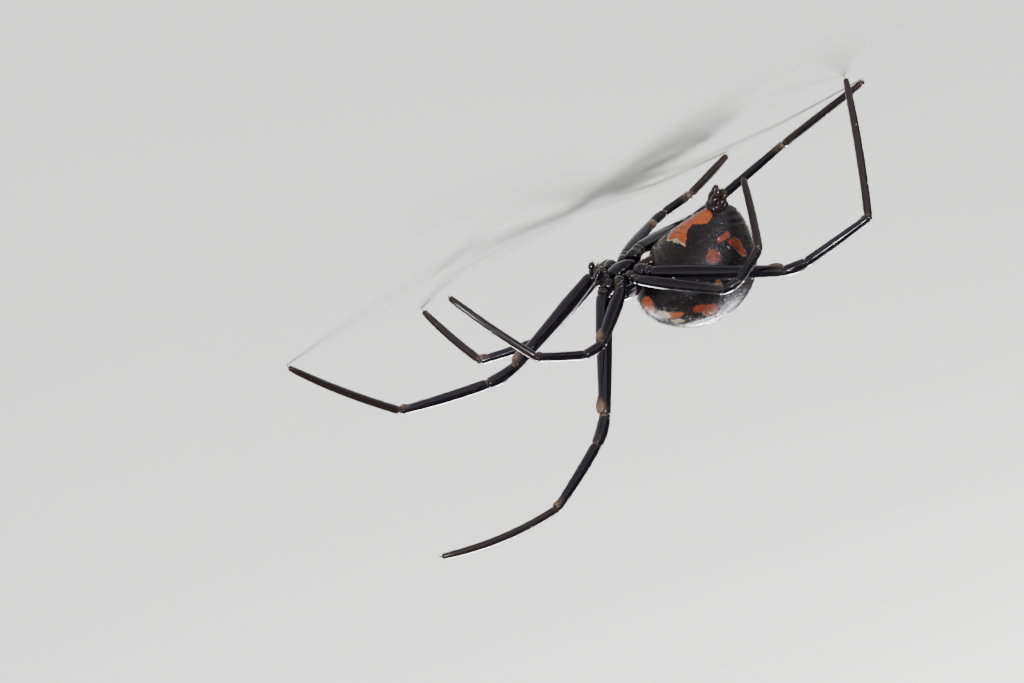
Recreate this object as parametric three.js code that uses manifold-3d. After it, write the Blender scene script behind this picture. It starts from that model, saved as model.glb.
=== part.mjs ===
// A life-size female black widow spider in the low, rolled stance of a spider under its thread,
// set down on a level floor. Millimetres, +Z up, +X towards the head, +Y to the spider's left.
// The origin is on the floor, under the middle of the leg span.
import * as THREE from "three";
import { mergeVertices } from "three/addons/utils/BufferGeometryUtils.js";
import Module from "manifold-3d";

// The trunk
const TRUNK_AT = [-0.88, 0, 4.3]; // middle of the carapace above the floor
const TRUNK_ROLL = 32; // degrees: the left side is down, the underside shows on the right
const CARAPACE = { length: 3.0, width: 2.5, height: 1.36, margin: 0.14, head: 0.6 };
const STERNUM = { length: 1.9, width: 1.3, x: -0.15, top: -0.5, depth: 0.44 };
const ABDOMEN = { x: -3.95, z: 1.95, long: 3.75, wide: 3.1, up: 3.1, down: 2.75, corner: 1.1, tuck: 0.62 };
const SPINNERETS = { x: -6.75, z: -1.35, tilt: 40, base: 0.62, tip: 0.34, length: 1.3 };
const PEDICEL = { from: -1.3, to: -2.1, z: -0.05, radius: 0.38 };
const CHELICERA = { x: 1.27, z: 0.25, y: 0.3, length: 1.58, radius: 0.29, lean: -8 };
const PALP_ROOT = [0.8, 0.52, -0.74];
const PALP_BEND = [1.42, 0.85, -0.6];
const PALP_END = [1.18, 0.72, -1.42];
const PALP_RADIUS = 0.23;

// The legs: thickness of each pair's femur, and the places of its root beside the carapace
const JOINT_GAP = 0.12; // cut between two pieces that touch
const LEG_RADIUS = { 1: 0.5, 2: 0.44, 3: 0.38, 4: 0.47 }; // thickest part of the femur
const PATELLA_LENGTH = { 1: 1.9, 2: 1.35, 3: 1.1, 4: 1.35 };
const SOLE_HEIGHT = 0.17; // middle of a standing toe above the floor
const COXA_ROOT = { 1: [0.7, 0.62], 2: [0.2, 0.78], 3: [-0.35, 0.78], 4: [-0.9, 0.7] };
const HIP = { 1: [1.5, 1.35], 2: [0.4, 1.9], 3: [-0.72, 1.8], 4: [-1.62, 1.72] };
const HIP_DROP = -0.3; // hips lie this much under the middle of the carapace
// Thickness of a foot: share of the way from ankle to toe, radius
const FOOT_RADII = [
  [-0.07, 0.25], [0.04, 0.27], [0.28, 0.255], [0.52, 0.25], [0.76, 0.245], [0.94, 0.21], [1.02, 0.14],
];

// Each leg's pose: knee, ankle and toe, as measured for a leg span of about 38 mm, then how far the
// foot bows outwards, as a share of its length
const POSE = {
  left_1: [[7.14, 1.6, 5.99], [14.34, 2.4, 5.14], [19.0, -1.0, 0], 0.025],
  left_2: [[4.29, 3.8, 4.9], [8.81, 5.2, 4.4], [10.5, 5.8, 0], 0.02],
  left_3: [[-4.05, 5.3, 1.75], [-6.87, 6.4, 1.16], [-9.82, 5.6, 0], 0.02],
  left_4: [[-6.36, 6.8, 2.55], [-13.19, 6.8, 1.0], [-18.94, 3.6, 0], 0.015],
  right_1: [[3.8, -2.4, 11.31], [8.75, -5.2, 15.05], [15.9, -7.6, 14.64], 0.048],
  right_2: [[2.1, -4.0, 7.61], [5.77, -6.0, 6.7], [8.7, -6.6, 1.33], 0.02],
  right_3: [[-5.73, -4.9, 8.1], [-8.61, -5.4, 6.95], [-9.73, -4.0, 2.74], 0.012],
  right_4: [[-9.4, -4.75, 8.7], [-15.15, -4.5, 8.16], [-17.76, -3.2, 0], 0.012],
};
const FLOOR_CUT = 40; // side of the block that trims the soles

const wasm = await Module();
wasm.setup();

const cuticle = (color, roughness) =>
  new THREE.MeshStandardMaterial({ color, roughness, metalness: 0 });
const BLACK = cuticle(0x0b090c, 0.22);
const GLOSS = cuticle(0x08070a, 0.15);
const BROWN = cuticle(0x2a1a12, 0.35);

const radians = THREE.MathUtils.degToRad;
const lerp = THREE.MathUtils.lerp;
const vector = (p) => new THREE.Vector3(...p);

// Turns a closed three.js geometry into a solid that can be joined and cut.
function solidOf(geometry) {
  const bare = new THREE.BufferGeometry().setAttribute("position", geometry.getAttribute("position"));
  bare.setIndex(geometry.index);
  const merged = mergeVertices(bare, 1e-4);
  const flat = { numProp: 3, vertProperties: merged.attributes.position.array };
  return new wasm.Manifold(new wasm.Mesh({ ...flat, triVerts: new Uint32Array(merged.index.array) }));
}

// Turns a solid back into a named mesh. Only the largest closed body of a cut is kept.
function meshOf(solid, name, material, at) {
  const bodies = solid.decompose();
  const whole = bodies.reduce((a, b) => (b.volume() > a.volume() ? b : a));
  const made = whole.getMesh();
  const geometry = new THREE.BufferGeometry();
  geometry.setAttribute("position", new THREE.BufferAttribute(made.vertProperties, 3));
  geometry.setIndex(new THREE.BufferAttribute(made.triVerts, 1));
  geometry.translate(-at.x, -at.y, -at.z);
  geometry.computeVertexNormals();
  const mesh = new THREE.Mesh(geometry, material);
  mesh.name = name;
  mesh.position.copy(at);
  return mesh;
}

// A round piece from a to b. Its radii are a list of [share of the length, radius], and its middle
// is pushed aside by bow.
function turned(a, b, radii, sides = 12, bow = new THREE.Vector3()) {
  const along = new THREE.Vector3().subVectors(b, a);
  const length = along.length();
  const last = radii[radii.length - 1];
  const profile = [new THREE.Vector2(0, radii[0][0] * length)];
  for (const [share, radius] of radii) profile.push(new THREE.Vector2(radius, share * length));
  profile.push(new THREE.Vector2(0, last[0] * length));
  const geometry = new THREE.LatheGeometry(profile, sides);
  const up = new THREE.Vector3(0, 1, 0);
  const points = geometry.attributes.position;
  const shares = Array.from({ length: points.count }, (_, i) => points.getY(i) / length);
  geometry.applyQuaternion(new THREE.Quaternion().setFromUnitVectors(up, along.normalize()));
  const spot = new THREE.Vector3();
  shares.forEach((share, i) => {
    spot.fromBufferAttribute(points, i).addScaledVector(bow, 4 * share * (1 - share));
    points.setXYZ(i, spot.x, spot.y, spot.z);
  });
  geometry.translate(a.x, a.y, a.z);
  return solidOf(geometry);
}

// Cuts away everything beyond the plane through a point, on the side of its normal.
function trimmed(solid, point, normal, reach = 8) {
  const block = new THREE.BoxGeometry(reach, reach, reach);
  block.translate(0, 0, reach / 2);
  const ahead = new THREE.Vector3(0, 0, 1);
  block.applyQuaternion(new THREE.Quaternion().setFromUnitVectors(ahead, normal));
  block.translate(point.x, point.y, point.z);
  return solid.subtract(solidOf(block));
}

// The mitre between two stretches that meet at a joint, as its unit normal.
function mitre(before, joint, after) {
  const arriving = new THREE.Vector3().subVectors(joint, before).normalize();
  const leaving = new THREE.Vector3().subVectors(after, joint).normalize();
  return arriving.add(leaving).normalize();
}

// A sphere drawn out to a shape: form turns each unit direction into a point.
function shaped(form, around = 28, over = 18) {
  const geometry = new THREE.SphereGeometry(1, around, over);
  const points = geometry.attributes.position;
  const s = new THREE.Vector3();
  for (let i = 0; i < points.count; i++) {
    s.fromBufferAttribute(points, i).normalize();
    points.setXYZ(i, ...form(s.x, -s.z, s.y));
  }
  return geometry;
}

const smooth = (x, low, high) => THREE.MathUtils.smoothstep(x, low, high);
const trunk = new THREE.Matrix4().makeRotationX(radians(-TRUNK_ROLL)).setPosition(...TRUNK_AT);

// The carapace: a low shield, raised at the head and steep in front, on a flat margin.
function carapaceForm(x, y, z) {
  const { length, width, height, margin, head } = CARAPACE;
  const front = smooth(x, 0.1, 0.8);
  const half = (width / 2) * lerp(1, head, front);
  const rise = height * (1 + 0.08 * front - 0.3 * smooth(-x, 0.25, 1));
  const square = 1 + 0.22 * front * Math.abs(y);
  const top = z > 0 ? rise * Math.pow(z, 0.8) + 0.3 * front * x * z : margin * z;
  return [(length / 2) * x * square, half * y * (1 + 0.25 * Math.abs(z) * front), top];
}

// The abdomen: a globe that overhangs the carapace, with a blunt corner low at the rear where the
// spinnerets sit, and tucked in low at the front to clear the carapace.
function abdomenForm(x, y, z) {
  const { long, wide, up, down, corner, tuck } = ABDOMEN;
  const low = Math.pow(Math.max(0, -0.66 * x - 0.75 * z), 5);
  const chin = tuck * smooth(x, 0.3, 0.85) * smooth(-z, 0.02, 0.4);
  return [
    ABDOMEN.x + long * x - 0.8 * corner * low - chin,
    wide * y * (1 - 0.25 * low - 0.06 * smooth(-x, 0.3, 1) - 0.16 * smooth(x, 0.1, 0.8)),
    ABDOMEN.z + (z > 0 ? up : down) * z - corner * low,
  ];
}

function sternumForm(x, y, z) {
  const { length, width, top, depth } = STERNUM;
  const heart = lerp(0.55, 1, smooth(x, -1, 0.35));
  const drop = z < 0 ? -depth * z : 0.05 * (1 - z);
  return [(length / 2) * x + STERNUM.x, (width / 2) * y * heart, top - drop];
}

const spider = new THREE.Group();
spider.name = "black_widow";
const body = new THREE.Group();
body.applyMatrix4(trunk);
spider.add(body);

const carapaceSolid = solidOf(shaped(carapaceForm));
const abdomenSolid = solidOf(shaped(abdomenForm, 40, 28));
const grown = (solid, by) => {
  const box = solid.boundingBox();
  const middle = [0, 1, 2].map((i) => (box.max[i] + box.min[i]) / 2);
  const scale = [0, 1, 2].map((i) => 1 + (2 * by) / (box.max[i] - box.min[i]));
  const back = middle.map((m) => -m);
  return solid.translate(back).scale(scale).translate(middle);
};
const carapaceClear = grown(carapaceSolid, JOINT_GAP);
const abdomenClear = grown(abdomenSolid, JOINT_GAP);

// Head, breast plate and waist
const sternumSolid = solidOf(shaped(sternumForm, 20, 12)).subtract(carapaceClear);
const sternumClear = grown(sternumSolid, JOINT_GAP);
const waist = turned(
  vector([PEDICEL.from, 0, PEDICEL.z]),
  vector([PEDICEL.to, 0, PEDICEL.z]),
  [[-0.5, PEDICEL.radius], [0.5, PEDICEL.radius * 0.8], [1.6, PEDICEL.radius]],
).subtract(carapaceClear).subtract(abdomenClear).subtract(sternumClear);

// Three pairs of short nozzles fused into one cone, on the abdomen's narrow end
function spinnerets() {
  const { x, z, tilt, base, tip, length } = SPINNERETS;
  const away = vector([-Math.sin(radians(tilt)), 0, -Math.cos(radians(tilt))]);
  const root = vector([x, 0, z]).addScaledVector(away, -0.4);
  const mound = root.clone().addScaledVector(away, 0.4 + length * 0.35);
  let cone = turned(root, mound, [[0, base], [0.8, base], [1, base * 0.85]], 16);
  for (const [side, back, reach] of [[1, 0.24, 1], [-1, 0.24, 1], [1, -0.2, 0.86], [-1, -0.2, 0.86]]) {
    const from = root.clone().add(vector([-back, side * 0.26, 0]));
    const to = from.clone().addScaledVector(away, 0.4 + length * reach).add(vector([0, -side * 0.06, 0]));
    cone = cone.add(turned(from, to, [[0, tip], [0.75, tip * 0.85], [1, tip * 0.5]], 10));
  }
  return cone.subtract(abdomenClear);
}

const trunkPieces = [
  [carapaceSolid, "carapace", BLACK, [0, 0, 0]],
  [sternumSolid, "sternum", BLACK, [0, 0, STERNUM.top]],
  [waist, "pedicel", BROWN, [PEDICEL.from, 0, PEDICEL.z]],
  [abdomenSolid, "abdomen", GLOSS, [ABDOMEN.x, 0, ABDOMEN.z]],
  [spinnerets(), "spinnerets", BROWN, [SPINNERETS.x, 0, SPINNERETS.z]],
];

const headClears = [carapaceClear, sternumClear, abdomenClear];

// Jaws and feelers hang side by side under the front of the carapace
for (const [sideName, side] of [["left", 1], ["right", -1]]) {
  const lean = radians(CHELICERA.lean);
  const top = vector([CHELICERA.x, side * CHELICERA.y, CHELICERA.z]);
  const down = vector([Math.sin(lean), 0, -Math.cos(lean)]);
  const tip = top.clone().addScaledVector(down, CHELICERA.length);
  const r = CHELICERA.radius;
  const jaw = turned(top, tip, [
    [-0.1, r * 0.8], [0.15, r], [0.6, r * 0.9], [0.88, r * 0.62], [1, r * 0.3],
  ]);
  const fang = turned(
    tip.clone().add(vector([0.02, 0, 0.12])),
    tip.clone().add(vector([-0.16, -side * 0.08, -0.2])),
    [[0, 0.12], [0.6, 0.08], [1, 0.03]], 8,
  );
  const whole = jaw.add(fang).subtract(carapaceClear).subtract(sternumClear);
  trunkPieces.push([whole, `chelicera_${sideName}`, BLACK, top.toArray()]);
  headClears.push(grown(whole, JOINT_GAP));

  const [root, bend, end] = [PALP_ROOT, PALP_BEND, PALP_END].map(([x, y, z]) => vector([x, side * y, z]));
  const wrist = bend.clone().lerp(end, 0.5).add(vector([0.12, 0, 0]));
  const t = PALP_RADIUS;
  const feeler = turned(root, bend, [[0, t * 0.9], [0.7, t], [1.08, t * 0.85]], 10)
    .add(turned(bend, wrist, [[-0.12, t * 0.8], [0.2, t], [1.05, t * 0.95]], 10))
    .add(turned(wrist, end, [[-0.08, t * 0.85], [0.35, t], [0.85, t * 0.65], [1, t * 0.3]], 10))
    .subtract(carapaceClear).subtract(sternumClear).subtract(grown(whole, JOINT_GAP));
  trunkPieces.push([feeler, `palp_${sideName}`, BLACK, bend.toArray()]);
  headClears.push(grown(feeler, JOINT_GAP));
}

for (const [solid, name, material, at] of trunkPieces) {
  body.add(meshOf(solid, name, material, vector(at)));
}

// A leg from its coxa to its toe, in four pieces that meet at mitred joints
function addLeg(name, [kneeAt, ankleAt, toeAt, bow]) {
  const side = name.startsWith("left") ? 1 : -1;
  const pair = Number(name.slice(-1));
  const r = LEG_RADIUS[pair];
  const [rootX, rootY] = COXA_ROOT[pair];
  const [hipX, hipY] = HIP[pair];
  const root = vector([rootX, side * rootY, HIP_DROP - 0.06]).applyMatrix4(trunk);
  const hip = vector([hipX, side * hipY, HIP_DROP]).applyMatrix4(trunk);
  const knee = vector(kneeAt);
  const ankle = vector(ankleAt);
  const standing = toeAt[2] < SOLE_HEIGHT;
  const toe = vector([toeAt[0], toeAt[1], standing ? SOLE_HEIGHT : toeAt[2]]);

  const thigh = new THREE.Vector3().subVectors(knee, hip).normalize();
  const shin = new THREE.Vector3().subVectors(ankle, knee).normalize();
  const kneeLine = thigh.clone().lerp(shin, 0.62).normalize();
  const bend = knee.clone().addScaledVector(kneeLine, PATELLA_LENGTH[pair]);
  const foot = new THREE.Vector3().subVectors(toe, ankle);
  const outward = shin.clone().addScaledVector(foot, -shin.dot(foot) / foot.lengthSq()).normalize();
  const footBow = outward.multiplyScalar(bow * foot.length());

  const shank = Math.max(0.29, r * 0.66);
  const ankleR = Math.max(0.26, r * 0.52);
  const coxa = turned(root, hip, [[0, r * 0.9], [0.5, r * 1.02], [0.75, r * 0.86], [1.5, r * 0.82]]);
  const femur = turned(hip, knee, [
    [-0.06, r * 0.78], [0.08, r * 0.86], [0.32, r], [0.7, r * 0.84], [0.93, r * 0.74], [1.1, r * 0.7],
  ]);
  const patella = turned(knee, bend, [[-0.5, r * 0.66], [0.2, r * 0.76], [0.7, r * 0.72], [1.05, shank]]);
  const tibia = turned(bend, ankle, [
    [-0.05, shank * 0.95], [0.12, shank], [0.6, shank * 0.92], [0.94, ankleR * 1.02], [1.1, ankleR],
  ]);
  const rod = turned(ankle, toe, FOOT_RADII, 10, footBow);

  const hipCut = mitre(root, hip, knee);
  const kneeCut = mitre(hip, knee, bend);
  const ankleCut = mitre(bend, ankle, ankle.clone().lerp(toe, 0.4).add(footBow));
  const half = JOINT_GAP / 2;
  const before = (p, n) => p.clone().addScaledVector(n, -half);
  const after = (p, n) => p.clone().addScaledVector(n, half);
  const back = (n) => n.clone().negate();

  let hipPiece = trimmed(coxa, before(hip, hipCut), hipCut);
  for (const clear of legClears) hipPiece = hipPiece.subtract(clear);
  legClears.push(grown(hipPiece, JOINT_GAP));
  const thighPiece = trimmed(
    trimmed(femur, after(hip, hipCut), back(hipCut)), before(knee, kneeCut), kneeCut,
  );
  const shankFromKnee = trimmed(patella.add(tibia), after(knee, kneeCut), back(kneeCut), 3);
  const shankPiece = trimmed(shankFromKnee, before(ankle, ankleCut), ankleCut, 3);
  let footPiece = trimmed(rod, after(ankle, ankleCut), back(ankleCut), 3);
  if (standing) footPiece = trimmed(footPiece, vector([toe.x, toe.y, 0]), vector([0, 0, -1]), FLOOR_CUT);

  spider.add(meshOf(hipPiece, `${name}_coxa`, BLACK, root));
  spider.add(meshOf(thighPiece, `${name}_femur`, BLACK, hip));
  spider.add(meshOf(shankPiece, `${name}_tibia`, BLACK, knee));
  spider.add(meshOf(footPiece, `${name}_foot`, BROWN, ankle));
}

const legClears = headClears.map((solid) => solid.transform(trunk.elements));
for (const [name, pose] of Object.entries(POSE)) addLeg(name, pose);

// The origin goes on the floor, under the middle of the leg span
const middle = new THREE.Box3().setFromObject(spider).getCenter(new THREE.Vector3());
for (const piece of spider.children) piece.position.sub(new THREE.Vector3(middle.x, middle.y, 0));

export default spider;
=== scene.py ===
"""A life-size female black widow spider, as a still museum model.

The model stands on a level floor in a low, rolled stance, with the underside showing on its
right. Sizes in the sections are millimetres; finished meshes are in metres.
"""
import math

import bpy
import numpy as np
from mathutils import Matrix, Vector


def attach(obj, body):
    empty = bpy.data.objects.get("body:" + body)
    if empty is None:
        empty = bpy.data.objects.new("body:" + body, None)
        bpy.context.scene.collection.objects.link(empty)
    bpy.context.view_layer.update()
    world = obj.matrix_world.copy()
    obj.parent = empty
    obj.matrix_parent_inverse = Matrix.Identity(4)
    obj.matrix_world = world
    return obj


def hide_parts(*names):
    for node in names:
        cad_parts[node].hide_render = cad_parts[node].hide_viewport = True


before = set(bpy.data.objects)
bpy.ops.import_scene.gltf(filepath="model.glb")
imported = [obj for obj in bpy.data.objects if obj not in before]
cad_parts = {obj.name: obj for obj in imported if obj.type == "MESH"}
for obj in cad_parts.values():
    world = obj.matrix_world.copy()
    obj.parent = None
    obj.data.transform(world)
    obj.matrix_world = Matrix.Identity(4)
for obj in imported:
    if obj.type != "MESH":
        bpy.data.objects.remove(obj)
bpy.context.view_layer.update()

# Carapace
# The hard black shield over the head and chest. It is one moulded plate with a raised head, a
# pit in the middle where the stomach muscles hold on, and shallow grooves out to the leg roots.
MM = 0.001
# The middle of the whole stance on the floor, which is moved to the origin
SPAN_MIDDLE = Vector((0.034, -0.096, 0.0))
TRUNK_AT = Vector((-0.88, 0.0, 4.3)) - SPAN_MIDDLE
TRUNK_ROLL = math.radians(-32)
TRUNK = Matrix.Translation(TRUNK_AT) @ Matrix.Rotation(TRUNK_ROLL, 4, "X")
TRUNK_TURN = np.array(TRUNK.to_3x3()).T
CARAPACE_LENGTH, CARAPACE_WIDTH, CARAPACE_HEIGHT, CARAPACE_MARGIN = 3.0, 2.5, 1.36, 0.14
HEAD_SHARE = 0.6
PIT_AT, PIT_DEPTH, GROOVE_DEPTH, SPOKE_DEPTH = -0.42, 0.2, 0.085, 0.03
# Across one patch of colour in a shell, and across one grain of its surface
SHELL_PATCH, SHELL_GRAIN = 0.9, 0.05
BLACK_SHELL = (0.0045, 0.0035, 0.0055)
AMBER_SHELL = (0.17, 0.112, 0.07)


def smoothstep(x, low, high):
    t = np.clip((x - low) / (high - low), 0, 1)
    return t * t * (3 - 2 * t)


def drawn_ball(form, around, over):
    """A closed skin from form, which takes the x, y and z of unit directions; poles at +x and -x."""
    turn = np.linspace(0, 2 * np.pi, around, endpoint=False)
    tilt = np.linspace(0, np.pi, over + 2)[1:-1, None]
    x = np.concatenate([[1.0], (np.cos(tilt) + 0 * turn).ravel(), [-1.0]])
    y = np.concatenate([[0.0], (np.sin(tilt) * np.cos(turn)).ravel(), [0.0]])
    z = np.concatenate([[0.0], (np.sin(tilt) * np.sin(turn)).ravel(), [0.0]])
    points = np.stack(form(x, y, z), axis=1)
    faces, last = [], 1 + over * around
    for j in range(around):
        k = (j + 1) % around
        faces.append((0, 1 + j, 1 + k))
        faces.append((last, last - around + k, last - around + j))
        for i in range(over - 1):
            a, b = 1 + i * around, 1 + (i + 1) * around
            faces.append((a + j, b + j, b + k, a + k))
    return points, faces


def on_trunk(points):
    """From the tilted trunk's own millimetres to the model's."""
    return points @ TRUNK_TURN + np.array(TRUNK.translation)


def add_piece(name, points, faces, material, slot, nodes, **attributes):
    """Make the finished mesh of a piece, in place of the CAD nodes that it stands for."""
    mesh = bpy.data.meshes.new(name)
    mesh.from_pydata((np.asarray(points) * MM).tolist(), [], [tuple(f) for f in faces])
    mesh.shade_smooth()
    for key, values in attributes.items():
        values = np.asarray(values, dtype=np.float32)
        kind, slot_name = ("FLOAT_VECTOR", "vector") if values.ndim == 2 else ("FLOAT", "value")
        mesh.attributes.new(key, kind, "POINT").data.foreach_set(slot_name, values.ravel())
    mesh.materials.append(material)
    piece = bpy.data.objects.new(name, mesh)
    bpy.context.scene.collection.objects.link(piece)
    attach(piece, "root")
    if nodes:
        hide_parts(*nodes)
    return piece


def carapace_form(x, y, z):
    front = smoothstep(x, 0.1, 0.8)
    half = (CARAPACE_WIDTH / 2) * (1 + (HEAD_SHARE - 1) * front)
    top = CARAPACE_HEIGHT * (1 + 0.08 * front - 0.3 * smoothstep(-x, 0.25, 1))
    px = (CARAPACE_LENGTH / 2) * x * (1 + 0.22 * front * np.abs(y))
    py = half * y * (1 + 0.25 * np.abs(z) * front)
    pz = np.where(z > 0, top * np.abs(z) ** 0.8 + 0.3 * front * x * z, CARAPACE_MARGIN * z)
    ahead = px - PIT_AT
    pit = PIT_DEPTH * np.exp(-((ahead / 0.2) ** 2) - (py / 0.17) ** 2)
    neck = np.abs(np.abs(py) - (0.14 + 0.52 * ahead))
    groove = GROOVE_DEPTH * np.exp(-((neck / 0.075) ** 2)) * smoothstep(px, -0.5, -0.2)
    groove *= 1 - smoothstep(px, 0.45, 0.8)
    angle, reach = np.arctan2(py, ahead), np.hypot(ahead, py)
    spokes = SPOKE_DEPTH * (0.5 + 0.5 * np.cos(6.5 * np.abs(angle) - 0.4)) * smoothstep(reach, 0.2, 0.45)
    spokes *= (1 - smoothstep(reach, 0.75, 1.05)) * (1 - smoothstep(px, 0.0, 0.4))
    rim = 0.035 * smoothstep(np.abs(z), 0.0, 0.1) * (1 - smoothstep(np.abs(z), 0.12, 0.26))
    return px, py * (1 + rim), pz - np.where(z > 0, pit + groove + spokes, 0)


def cuticle(name, dark, light, rough):
    """Hard shell: dark, going to amber where it is thin, with a fine grain under a gloss."""
    made = bpy.data.materials.new(name)
    made.use_nodes = True
    nodes, links = made.node_tree.nodes, made.node_tree.links
    shell = nodes["Principled BSDF"]
    place = nodes.new("ShaderNodeTexCoord")
    thin = nodes.new("ShaderNodeAttribute")
    thin.attribute_name = "Thin"
    cloud = nodes.new("ShaderNodeTexNoise")
    cloud.inputs["Scale"].default_value = 1 / (SHELL_PATCH * MM)
    cloud.inputs["Detail"].default_value = 4
    fine = nodes.new("ShaderNodeTexNoise")
    fine.inputs["Scale"].default_value = 1 / (SHELL_GRAIN * MM)
    fine.inputs["Detail"].default_value = 3
    edge = nodes.new("ShaderNodeMapRange")
    edge.inputs["From Min"].default_value, edge.inputs["From Max"].default_value = 0.3, 0.7
    edge.inputs["To Min"].default_value, edge.inputs["To Max"].default_value = 0.55, 1.25
    amount = nodes.new("ShaderNodeMath")
    amount.operation = "MULTIPLY"
    amount.use_clamp = True
    colour = nodes.new("ShaderNodeMix")
    colour.data_type = "RGBA"
    colour.inputs["A"].default_value = (*dark, 1)
    colour.inputs["B"].default_value = (*light, 1)
    gloss = nodes.new("ShaderNodeMapRange")
    gloss.inputs["From Min"].default_value, gloss.inputs["From Max"].default_value = 0.3, 0.7
    gloss.inputs["To Min"].default_value, gloss.inputs["To Max"].default_value = rough * 0.75, rough * 1.35
    bump = nodes.new("ShaderNodeBump")
    bump.inputs["Strength"].default_value = 0.35
    bump.inputs["Distance"].default_value = 0.005 * MM
    for texture in (cloud, fine):
        links.new(place.outputs["Object"], texture.inputs["Vector"])
    links.new(cloud.outputs["Fac"], edge.inputs["Value"])
    links.new(edge.outputs["Result"], amount.inputs[0])
    links.new(thin.outputs["Fac"], amount.inputs[1])
    links.new(amount.outputs["Value"], colour.inputs["Factor"])
    links.new(colour.outputs["Result"], shell.inputs["Base Color"])
    links.new(cloud.outputs["Fac"], gloss.inputs["Value"])
    links.new(gloss.outputs["Result"], shell.inputs["Roughness"])
    links.new(fine.outputs["Fac"], bump.inputs["Height"])
    links.new(bump.outputs["Normal"], shell.inputs["Normal"])
    shell.inputs["Specular IOR Level"].default_value = 0.36
    shell.inputs["Specular Tint"].default_value = (0.8, 0.76, 1.0, 1)
    shell.inputs["Coat Weight"].default_value = 0.32
    shell.inputs["Coat Roughness"].default_value = 0.09
    return made


black_shell = cuticle("black_shell", BLACK_SHELL, AMBER_SHELL, 0.13)
points, faces = drawn_ball(carapace_form, 96, 80)
add_piece("carapace", on_trunk(points), faces, black_shell, "shell_black", ["carapace"])

# Eyes
# Eight smooth lenses in two rows of four across the front of the head, dark amber to black. Each
# is a low bead half sunk in the shell.
EYE_ROWS = (
    # How far forward, out to the side, and the bead's radius
    (1.1, 0.17, 0.105),
    (1.02, 0.47, 0.1),
    (1.39, 0.15, 0.11),
    (1.25, 0.47, 0.1),
)


def shell_height(forward, aside):
    """Top of the carapace above a place on its plan, found on the mesh's own points."""
    plan = np.hypot(points[:, 0] - forward, points[:, 1] - aside)
    near = np.argsort(plan + 10 * (points[:, 2] < 0))[:6]
    return float(points[near, 2].mean())


def bead(x, y, z):
    return x, y, z


eye_lens = bpy.data.materials.new("eye_lens")
eye_lens.use_nodes = True
lens = eye_lens.node_tree.nodes["Principled BSDF"]
lens_place = eye_lens.node_tree.nodes.new("ShaderNodeTexCoord")
lens_depth = eye_lens.node_tree.nodes.new("ShaderNodeTexNoise")
lens_depth.inputs["Scale"].default_value = 1 / (0.4 * MM)
lens_colour = eye_lens.node_tree.nodes.new("ShaderNodeMix")
lens_colour.data_type = "RGBA"
lens_colour.inputs["A"].default_value = (0.004, 0.003, 0.004, 1)
lens_colour.inputs["B"].default_value = (0.05, 0.02, 0.008, 1)
eye_lens.node_tree.links.new(lens_place.outputs["Object"], lens_depth.inputs["Vector"])
eye_lens.node_tree.links.new(lens_depth.outputs["Fac"], lens_colour.inputs["Factor"])
eye_lens.node_tree.links.new(lens_colour.outputs["Result"], lens.inputs["Base Color"])
lens.inputs["Roughness"].default_value = 0.04
lens.inputs["Coat Weight"].default_value = 1.0

ball_points, ball_faces = drawn_ball(bead, 24, 15)
eye_points, eye_faces = [], []
for forward, aside, radius in EYE_ROWS:
    for side in (1, -1):
        sunk = shell_height(forward, side * aside) - 0.3 * radius
        middle = np.array((forward, side * aside, sunk))
        eye_faces += [tuple(v + len(eye_points) for v in f) for f in ball_faces]
        eye_points += list(ball_points * radius + middle)
add_piece("eyes", on_trunk(np.array(eye_points)), eye_faces, eye_lens, "shell_black", [])

# Sternum and mouthparts below
# The breast plate is a hard heart-shaped shield between the leg roots. In front of it lie the
# small lip plate and the two jaw plates, one on each side, moulded in the same shell.
STERNUM_LENGTH, STERNUM_WIDTH, STERNUM_DEPTH = 1.9, 1.3, 0.44
STERNUM_AT, STERNUM_TOP = -0.15, -0.5


def sternum_form(x, y, z):
    heart = 0.55 + 0.45 * smoothstep(x, -1, 0.35)
    notch = 1 - 0.05 * np.cos(8 * np.arctan2(y, x)) * smoothstep(np.hypot(x, y), 0.6, 1)
    low = STERNUM_TOP + np.where(z < 0, STERNUM_DEPTH * z, 0.05 * z)
    return (STERNUM_LENGTH / 2) * x * notch + STERNUM_AT, (STERNUM_WIDTH / 2) * y * heart * notch, low


def lip_form(x, y, z):
    return 0.82 + 0.18 * x, 0.2 * y, -0.74 + 0.12 * z


def plate_form(x, y, z, side):
    forward = 0.86 + 0.26 * x - 0.05 * y * side
    return forward, side * 0.33 + 0.16 * y - 0.09 * side * x, -0.68 + 0.16 * z


class Joined:
    """Parts of one piece, with how thin the shell is, how bristly, and which way bristles lie."""

    def __init__(self):
        self.points, self.faces = [], []
        self.thin, self.bristly, self.lie, self.unwrap = [], [], [], []

    def add(self, points, faces, thin=0.0, bristly=0.0, lie=(0, 0, -1), unwrap=(0.5, 0.5, 0)):
        count, start = len(points), len(self.points)
        self.faces += [tuple(v + start for v in f) for f in faces]
        self.points += [tuple(p) for p in points]
        self.thin += list(np.broadcast_to(thin, count))
        self.bristly += list(np.broadcast_to(bristly, count))
        self.lie += [tuple(p) for p in np.broadcast_to(lie, (count, 3))]
        self.unwrap += [tuple(p) for p in np.broadcast_to(unwrap, (count, 3))]

    def piece(self, name, material, slot, nodes, lift=None):
        points = np.array(self.points)
        if lift is not None:
            points = lift(points)
        return add_piece(
            name, points, self.faces, material, slot, nodes,
            Thin=self.thin, Bristly=self.bristly, Lie=self.lie, Unwrap=self.unwrap,
        )


chest = Joined()
chest.add(*drawn_ball(sternum_form, 72, 40))
chest.add(*drawn_ball(lip_form, 32, 20))
for side in (1, -1):
    chest.add(*drawn_ball(lambda x, y, z: plate_form(x, y, z, side), 32, 20), thin=0.15)
chest.piece("sternum", black_shell, "shell_black", ["sternum"], lift=on_trunk)

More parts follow.
